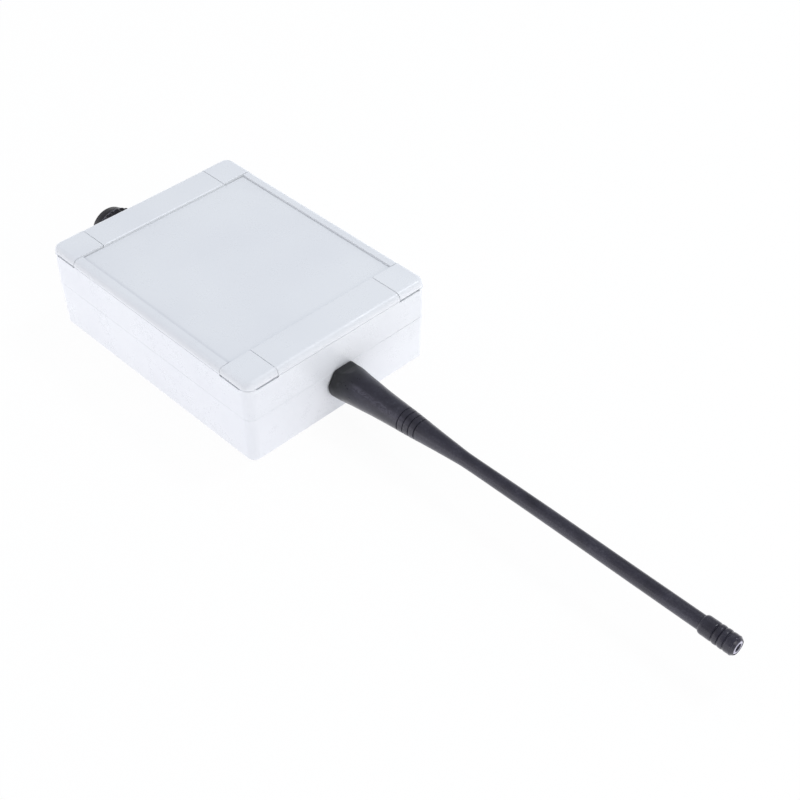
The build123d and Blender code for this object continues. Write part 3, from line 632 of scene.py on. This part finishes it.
class Bits:
    """Gathers small solids into one mesh. Levels are heights above the case's underside."""

    def __init__(self):
        self.vertices, self.faces = [], []

    def add(self, vertices, faces):
        start = len(self.vertices)
        self.vertices += vertices
        self.faces += [tuple(start + index for index in face) for face in faces]

    def box(self, x, y, length, width, low, high):
        corners = rectangle(x, y, length, width)
        vertices = [(x, y, level) for level in (low, high) for x, y in corners]
        sides = [(i, (i + 1) % 4, 4 + (i + 1) % 4, 4 + i) for i in range(4)]
        self.add(vertices, [(0, 1, 2, 3), (4, 5, 6, 7)] + sides)

    def ribbon(self, points, width, low, high, closed=False):
        """A flat strip along points, with mitred corners."""
        count = len(points)
        left, right = [], []
        for index in range(count):
            before = points[index - 1] if index or closed else None
            after = points[(index + 1) % count] if index < count - 1 or closed else None
            ways = []
            for start, end in ((before, points[index]), (points[index], after)):
                if start and end:
                    ways.append(Vector((end[0] - start[0], end[1] - start[1])).normalized())
            # Round a bend the strip keeps its width, unless the bend is very sharp.
            way = sum(ways, Vector((0, 0))).normalized()
            reach = width / 2 / max(0.5, way.dot(ways[0]))
            x, y = points[index]
            left.append((x - way.y * reach, y + way.x * reach))
            right.append((x + way.y * reach, y - way.x * reach))
        vertices = [(x, y, z) for z in (low, high) for x, y in left + right]
        faces = []
        for i in range(count if closed else count - 1):
            j = (i + 1) % count
            faces.append((i, j, count + j, count + i))
            faces.append((2 * count + i, 2 * count + j, 3 * count + j, 3 * count + i))
            faces.append((i, j, 2 * count + j, 2 * count + i))
            faces.append((count + i, count + j, 3 * count + j, 3 * count + i))
        if not closed:
            faces += [(i, count + i, 3 * count + i, 2 * count + i) for i in (0, count - 1)]
        self.add(vertices, faces)

    def turned(self, x, y, profile):
        def point(level, radius, angle):
            return x + radius * math.cos(angle), y + radius * math.sin(angle), level
        self.add(*lathe(profile, 20, point))

    def disc(self, x, y, radius, low, high, hole=0.0):
        profile = [(low, hole), (low, radius), (high, radius), (high, hole)]
        if hole:
            profile.append((low, hole))
        self.turned(x, y, profile)

    def joint(self, x, y, radius, height, level):
        self.turned(x, y, [(level + rise * height, share * radius) for rise, share in SOLDER_CONE])

    def done(self, name, slot, body="base", material=None):
        piece(name, self.vertices, self.faces, slot, body, material=material)


# Circuit board: places of its parts, then the tracks' routes and the holes through it

CHIP_X, CHIP_Y, _ = middle("controller_chip")
TERMINAL_Y = middle("terminal_block")[1]
SWITCH_X, SWITCH_Y, _ = middle("pairing_switch")
REGULATOR_X, REGULATOR_Y, _ = middle("voltage_regulator")
SHIELD_X, SHIELD_Y, _ = middle("rf_shield")
LED_X, LED_Y, _ = middle("status_led")
RESISTOR_X = -26.5
CERAMIC_X = 1.55
CERAMIC_Y = 22.6
FEED_X = 38.4
BOARD_SCREW_X = 35
BOARD_SCREW_Y = 25.5
PIN_PITCH = 2.54

# The radio module stands on a row of pins, and a bare spacer carries its far edge.
MODULE_X, MODULE_Y, _ = middle("rf_module")
MODULE_PINS = [MODULE_X + 2 * index for index in range(-4, 5)]
MODULE_PINS_Y = MODULE_Y - 8.6
MODULE_TOP = BOARD_TOP + 3.6

# Six ways of the terminal block. The first two carry the supply, and the others have a resistor each.
WAYS = [TERMINAL_Y + 2 * PIN_PITCH * (index - 2.5) for index in range(6)]
SIGNAL_WAYS = WAYS[2:]
TERMINAL_END = -29.2
RESISTOR_END = -25.4

# The chip's legs along X, and where tracks meet its front and back row.
LEGS = [CHIP_X + PIN_PITCH / 2 * (index - 4.5) for index in range(10)]
LEG_ROWS = (CHIP_Y - 4.95, CHIP_Y + 4.95)
FRONT_LEGS = CHIP_Y - 5.9
BACK_LEGS = CHIP_Y + 5.9

# Lower and upper level of what lies on the board.
TRACK = (BOARD_TOP - 0.02, BOARD_TOP + 0.04)
RING = (BOARD_TOP - 0.02, BOARD_TOP + 0.05)
PAD = (BOARD_TOP - 0.02, BOARD_TOP + 0.06)
INK = (BOARD_TOP - 0.01, BOARD_TOP + 0.03)
PAD_TOP = PAD[1]

TRACK_WIDTH = 0.5
WIDE_TRACK_WIDTH = 1.5
INK_WIDTH = 0.18

ROUTES = [
    [(RESISTOR_END, WAYS[5]), (-20, WAYS[5]), (-17.3, 8), (-15, 8), (LEGS[0], 9.28), (LEGS[0], FRONT_LEGS)],
    [(RESISTOR_END, WAYS[4]), (-16.13, WAYS[4]), (LEGS[1], 9.3), (LEGS[1], FRONT_LEGS)],
    [(RESISTOR_END, WAYS[3]), (-19.94, WAYS[3]), (LEGS[2], 9.3), (LEGS[2], FRONT_LEGS)],
    [(RESISTOR_END, WAYS[2]), (-23.75, WAYS[2]), (LEGS[3], 9.3), (LEGS[3], FRONT_LEGS)],
    [(LEGS[9], FRONT_LEGS), (LEGS[9], 4.5), (2.8, MODULE_PINS_Y), (MODULE_PINS[0], MODULE_PINS_Y)],
    [(LEGS[8], FRONT_LEGS), (LEGS[8], 3.2), (2.84, -3.2), (12.2, -3.2), (14, -1.4),
     (MODULE_PINS[1], MODULE_PINS_Y)],
    [(LEGS[7], FRONT_LEGS), (LEGS[7], 2), (1.57, -4.4), (12.6, -4.4), (16, -1),
     (MODULE_PINS[2], MODULE_PINS_Y)],
    [(LEGS[6], FRONT_LEGS), (LEGS[6], 0.8), (0.3, -5.6), (13.2, -5.6), (18, -0.8),
     (MODULE_PINS[3], MODULE_PINS_Y)],
    [(LEGS[5], FRONT_LEGS), (LEGS[5], -0.4), (-0.97, -6.8), (9, -6.8), (16.4, -14.2), (16.4, -19.75)],
    [(LEGS[4], FRONT_LEGS), (LEGS[4], -1.6), (-2.24, -8), (7.8, -8), (11, -11.2), (11, -24.5), (13.5, -27),
     (27, -27), (29.7, -24.3), (29.7, -22)],
    [(LEGS[4], BACK_LEGS), (LEGS[4], 22.6), (-10.44, 24.4)],
    [(LEGS[5], BACK_LEGS), (LEGS[5], 22.6), (-5.57, 24.4)],
    [(LEGS[9], BACK_LEGS), (LEGS[9], CERAMIC_Y), (0.5, CERAMIC_Y)],
    [(LEGS[0], BACK_LEGS), (LEGS[0], 22.2), (-16.5, 25)],
    [(20, -33), (-24, -33), (-28, -29), (-33.7, -29), (-38.5, -24)],
]
WIDE_ROUTES = [
    [(TERMINAL_END, WAYS[1]), (-19.5, WAYS[1]), (-8.5, -20.6), (-6.85, -22.2)],
    [(TERMINAL_END, WAYS[0]), (-25, WAYS[0]), (-18.5, -21.2), (-16, -23.7)],
    [(REGULATOR_X + PIN_PITCH, REGULATOR_Y), (6.54, -20), (4, -17.5)],
    [(REGULATOR_X - PIN_PITCH, REGULATOR_Y), (-3, -27), (-6.85, -25)],
    [(32.5, 0), (FEED_X, 0)],
]
VIAS = [(-16.5, 25), (4, -17.5), (4.6, CERAMIC_Y), (20, -33), (-38.5, -24), (22, 29), (36, 14), (36, -12),
        (-22, 20)]

# Length and width of the printed outline round a CAD node.
OUTLINED = {
    "controller_chip": (13.8, 7.7),
    "crystal": (12.6, 6.2),
    "rf_module": (26.8, 20.8),
    "pairing_switch": (7.4, 7.4),
    "voltage_regulator": (11.2, 5.4),
    "terminal_block": (9.6, 31.4),
}
SMALL_OUTLINE = (3.8, 2.2)
# Printed rings round the two capacitors and the lamp, and a dot at the chip's first leg: x, y, radius.
PRINTED_RINGS = ((-16, -24, 4.5), (-6.85, -24, 3.65), (LED_X, LED_Y, 2.4), (-15.6, 11.4, 0.3))


def board_tracks():
    tracks = Bits()
    for route in ROUTES:
        tracks.ribbon(route, TRACK_WIDTH, *TRACK)
    for route in WIDE_ROUTES:
        tracks.ribbon(route, WIDE_TRACK_WIDTH, *TRACK)
    for way in SIGNAL_WAYS:
        tracks.ribbon([(TERMINAL_END, way), (-27.6, way)], TRACK_WIDTH, *TRACK)
    tracks.done("board_tracks", "board_laminate", material="track_green")


def small_part_ends(solder, x, y, pad, end, height):
    """Pads and tinned ends at both sides of a part. Each has a distance from its middle and a length."""
    for side in (-1, 1):
        solder.box(x + side * pad[0], y, pad[1], 1.4, *PAD)
        solder.box(x + side * end[0], y, end[1], 1.27, PAD_TOP, BOARD_TOP + height)


def board_solder():
    solder = Bits()
    for leg in LEGS:
        for leg_row in LEG_ROWS:
            solder.box(leg, leg_row, 0.7, 1.9, *PAD)
    for way in SIGNAL_WAYS:
        small_part_ends(solder, RESISTOR_X, way, pad=(1.0, 1.0), end=(0.85, 0.3), height=0.63)
    small_part_ends(solder, CERAMIC_X, CERAMIC_Y, pad=(0.8, 0.9), end=(0.8, 0.35), height=0.9)
    for x, y in VIAS:
        solder.disc(x, y, 0.5, *PAD, hole=0.2)
    for side_x, side_y in FOUR_CORNERS:
        # A ring round each board screw's hole, and a leg of the switch on its pad.
        solder.disc(side_x * BOARD_SCREW_X, side_y * BOARD_SCREW_Y, 3.1, *RING, hole=1.4)
        leg_y = SWITCH_Y + side_y * 2.25
        solder.box(SWITCH_X + side_x * 3.7, leg_y, 1.5, 0.9, *PAD)
        solder.box(SWITCH_X + side_x * 3.4, leg_y, 0.9, 0.6, PAD_TOP, BOARD_TOP + 0.25)
    # The antenna's feed wire, the regulator's three legs and the radio module's pins.
    solder.disc(FEED_X, 0, 1.25, *PAD)
    solder.joint(FEED_X, 0, 1.15, 1.3, PAD_TOP)
    for index in (-1, 0, 1):
        solder.joint(REGULATOR_X + PIN_PITCH * index, REGULATOR_Y, 0.95, 1.1, BOARD_TOP)
    for x in MODULE_PINS:
        solder.joint(x, MODULE_PINS_Y, 0.62, 0.45, MODULE_TOP)
        solder.box(x, MODULE_PINS_Y, 0.68, 0.68, BOARD_TOP, BOARD_TOP + 0.6)
    # The seam of solder at the shield's foot.
    foot = rectangle(SHIELD_X, SHIELD_Y, 15.6, 13.6)
    solder.ribbon(foot, 0.9, MODULE_TOP - 0.02, MODULE_TOP + 0.08, closed=True)
    solder.done("board_solder", "tinned_steel")


def board_outlines():
    ink = Bits()
    outlines = [(*middle(node_name)[:2], *size) for node_name, size in OUTLINED.items()]
    outlines += [(RESISTOR_X, way, *SMALL_OUTLINE) for way in SIGNAL_WAYS]
    outlines.append((CERAMIC_X, CERAMIC_Y, *SMALL_OUTLINE))
    for outline in outlines:
        ink.ribbon(rectangle(*outline), INK_WIDTH, *INK, closed=True)
    for x, y, radius in PRINTED_RINGS:
        ink.disc(x, y, radius, *INK, hole=radius - INK_WIDTH)
    ink.done("board_outlines", "board_laminate", material="board_ink")


def small_board_parts():
    # Resistors, the pin strip and spacer under the radio module, and a ceramic capacitor.
    dark = Bits()
    for way in SIGNAL_WAYS:
        dark.box(RESISTOR_X, way, 1.4, 1.25, BOARD_TOP + 0.08, BOARD_TOP + 0.6)
    dark.box(MODULE_X, MODULE_PINS_Y, 18.06, 2.06, BOARD_TOP + 0.58, BOARD_TOP + 2.59)
    dark.box(MODULE_X, MODULE_Y + 8.6, 4.06, 2.06, BOARD_TOP + 0.02, BOARD_TOP + 2.59)
    dark.done("board_dark_parts", "chip_plastic")
    ceramic = Bits()
    ceramic.box(CERAMIC_X, CERAMIC_Y, 1.25, 1.25, BOARD_TOP + 0.08, BOARD_TOP + 0.88)
    ceramic.done("board_ceramic_part", "chip_plastic", material="ceramic_tan")


# Lid screws' threads, the seam and the recess

SCREW_X = 45.7
SCREW_Y = 32.7
SHANK_RADIUS = 1.48
THREAD_LOW = 12.9
THREAD_HIGH = 21.4
THREAD_PITCH = 0.5
STEPS_PER_TURN = 16

# Middles of the case's rounded corners, in order round it from +X and +Y.
CORNER_X = 49.5
CORNER_Y = 36.5
CORNER_MIDDLES = ((CORNER_X, CORNER_Y), (-CORNER_X, CORNER_Y), (-CORNER_X, -CORNER_Y), (CORNER_X, -CORNER_Y))


def screw_threads():
    # One thin ridge that winds along each shank and fades out at both ends.
    ridge = Bits()
    steps = int((THREAD_HIGH - THREAD_LOW) / THREAD_PITCH * STEPS_PER_TURN)
    for side_x, side_y in FOUR_CORNERS:
        vertices, faces = [], []
        for index in range(steps + 1):
            angle = 2 * math.pi * index / STEPS_PER_TURN
            level = THREAD_LOW + THREAD_PITCH * index / STEPS_PER_TURN
            lift = 0.07 * min(1.0, index / STEPS_PER_TURN, (steps - index) / STEPS_PER_TURN)
            crest = SHANK_RADIUS + 0.015 + lift
            for radius, rise in ((SHANK_RADIUS, -0.16), (crest, 0.0), (SHANK_RADIUS, 0.16)):
                x = side_x * SCREW_X + radius * math.cos(angle)
                y = side_y * SCREW_Y + radius * math.sin(angle)
                vertices.append((x, y, level + rise))
        for index in range(steps):
            start = 3 * index
            faces.append((start, start + 1, start + 4, start + 3))
            faces.append((start + 1, start + 2, start + 5, start + 4))
        ridge.add(vertices, faces)
    ridge.done("screw_threads", "screw_steel", "lid")


def case_edge(reach, corners):
    """Points round some of the case's corners, at a distance from their middles."""
    points = []
    for corner in corners:
        x, y = CORNER_MIDDLES[corner]
        for turn in evenly(math.pi / 2 * corner, math.pi / 2 * (corner + 1), 8):
            points.append((x + reach * math.cos(turn), y + reach * math.sin(turn)))
    return points


def seam_lip():
    # A low lip on the base's edge closes the seam behind its bevels.
    lip = Bits()
    lip.ribbon(case_edge(3.05, (0, 1, 2, 3)), 0.5, 18.35, 18.495, closed=True)
    # Along one long side and most of the antenna's end a second one fits more closely.
    run_out = [(52.84, 16.0), (52.7, 24.0)]
    lip.ribbon(case_edge(3.34, (2, 3)) + run_out, 0.2, 18.36, 18.49)
    lip.done("seam_lip", "case_plastic")


def recess_beads():
    # Beads make the grooves round the lid's recess finer.
    beads = Bits()
    side_length = 77.8
    for side in (1, -1):
        beads.box(0, side * 35.825, side_length, 0.35, 32.15, 32.61)
        beads.box(0, side * 35.75, side_length, 0.2, 32.5, 32.695)
    beads.box(-39.2, 0, 0.2, 52.2, 32.35, 32.65)
    beads.done("recess_beads", "case_plastic", "lid")


board_tracks()
board_solder()
board_outlines()
small_board_parts()
screw_threads()
seam_lip()
recess_beads()


# Stage, light and camera, in metres

FLOOR_SIZE = 16.0
FLOOR_LEVEL = -0.00002
FLOOR_COLOUR = (0.96, 0.95, 0.93, 1)
FLOOR_WHITENESS = 0.94

# How strongly the tent lights from the sides and from overhead, and what share is left at its opening.
LIGHT_LOW = 0.87
LIGHT_HIGH = 0.89
FRONT_SHARE = 0.45
OPENING = (0.7, -0.7, 0.1)
MIRRORED_OVERHEAD = 0.35

TENT_TINT = (0.952, 0.989, 1.051)
TABLE_TINT = (0.952, 0.935, 1)
LEFT_TINT = (0.952, 0.895, 0.97)
RIGHT_TINT = (0.952, 0.91, 0.895)
CASE_MIDDLE = (0, 0, 0.02)

CAMERA_PLACE = (0.328607, -0.244329, 0.338239)
CAMERA_RIGHT = Vector((0.70143, 0.71274, 0.0))
CAMERA_FORWARD = Vector((-0.52702, 0.51866, -0.67324)).normalized()
LENS = 66.09
SENSOR_WIDTH = 36.0


def make_floor():
    # It lights things as a pale surface does, and is seen as almost plain white.
    corners = rectangle(0, 0, FLOOR_SIZE, FLOOR_SIZE)
    mesh = bpy.data.meshes.new("floor")
    mesh.from_pydata([(x, y, FLOOR_LEVEL) for x, y in corners], [], [(0, 1, 2, 3)])
    floor = bpy.data.objects.new("floor", mesh)
    bpy.context.scene.collection.objects.link(floor)
    finish = Finish("floor_white", 0.9)
    finish.colour(FLOOR_COLOUR)
    finish.shader.inputs["Specular IOR Level"].default_value = 0.0
    white = finish.add("ShaderNodeEmission")
    share = finish.times(finish.seen(), FLOOR_WHITENESS)
    finish.finish_with(share, finish.shader.outputs[0], white.outputs[0], "Material Output")
    mesh.materials.append(finish.material)


def make_world():
    # A light tent. Its light is nearly even, and its mirror image is white low down and darker overhead.
    world = bpy.data.worlds.new("light_tent")
    bpy.context.scene.world = world
    world.use_nodes = True
    tent = Nodes(world.node_tree)
    way = tent.add("ShaderNodeTexCoord").outputs["Generated"]
    height = tent.axes(way)["Z"]

    # The tent is open toward the front, so less light comes from there.
    towards_front = tent.add("ShaderNodeVectorMath", {0: way, 1: OPENING}, "DOT_PRODUCT").outputs["Value"]
    left_at_front = tent.spread(towards_front, 0.2, 1.0, 1.0, FRONT_SHARE)
    strength = tent.times(tent.spread(height, 0.0, 1.0, LIGHT_LOW, LIGHT_HIGH), left_at_front)
    light = world.node_tree.nodes["Background"]
    tent.feed((*TENT_TINT, 1), light.inputs["Color"])
    tent.feed(strength, light.inputs["Strength"])

    mirrored = tent.spread(height, 0.0, 0.4, 1.0, MIRRORED_OVERHEAD)
    straight = tent.add("ShaderNodeLightPath").outputs["Is Camera Ray"]
    white = tent.maths("MAXIMUM", mirrored, straight)
    backdrop = tent.add("ShaderNodeBackground", {"Color": (1, 1, 1, 1), "Strength": white})
    tent.finish_with(tent.seen(), light.outputs[0], backdrop.outputs[0], "World Output")


def make_lamp(name, place, target, width, height, power, tint):
    lamp = bpy.data.lights.new(name, "AREA")
    lamp.shape = "RECTANGLE"
    lamp.size = width
    lamp.size_y = height
    lamp.energy = power
    lamp.color = tint
    obj = bpy.data.objects.new(name, lamp)
    bpy.context.scene.collection.objects.link(obj)
    obj.location = place
    obj.rotation_mode = "QUATERNION"
    obj.rotation_quaternion = (Vector(target) - Vector(place)).to_track_quat("-Z", "Y")


def make_camera():
    # The camera that was fitted to the photograph's edges.
    data = bpy.data.cameras.new("photo_camera")
    data.lens = LENS
    data.sensor_width = SENSOR_WIDTH
    data.clip_start = 0.01
    data.clip_end = 50
    camera = bpy.data.objects.new("photo_camera", data)
    bpy.context.scene.collection.objects.link(camera)
    up = CAMERA_RIGHT.cross(CAMERA_FORWARD).normalized()
    turn = Matrix((CAMERA_RIGHT, up, -CAMERA_FORWARD)).transposed().to_4x4()
    camera.matrix_world = Matrix.Translation(CAMERA_PLACE) @ turn
    bpy.context.scene.camera = camera


make_floor()
make_world()
# The table's own glow comes from just above the floor and shines upwards.
make_lamp("light_table", (0, 0, 0.00005), (0, 0, 1), 1.6, 1.6, 3.5, TABLE_TINT)
make_lamp("left_softbox", (-0.64, -0.84, 0.51), CASE_MIDDLE, 0.9, 1.24, 1.56, LEFT_TINT)
make_lamp("left_strip", (-0.6, -0.95, 0.08), CASE_MIDDLE, 1.0, 0.12, 0.63, LEFT_TINT)
make_lamp("right_softbox", (0.95, 0.0, 0.46), CASE_MIDDLE, 0.45, 0.45, 1.81, RIGHT_TINT)
make_lamp("back_softbox", (0.2, 0.6, 0.95), CASE_MIDDLE, 0.2, 0.2, 1.9, TENT_TINT)
make_camera()
bpy.context.scene.view_settings.view_transform = "Standard"
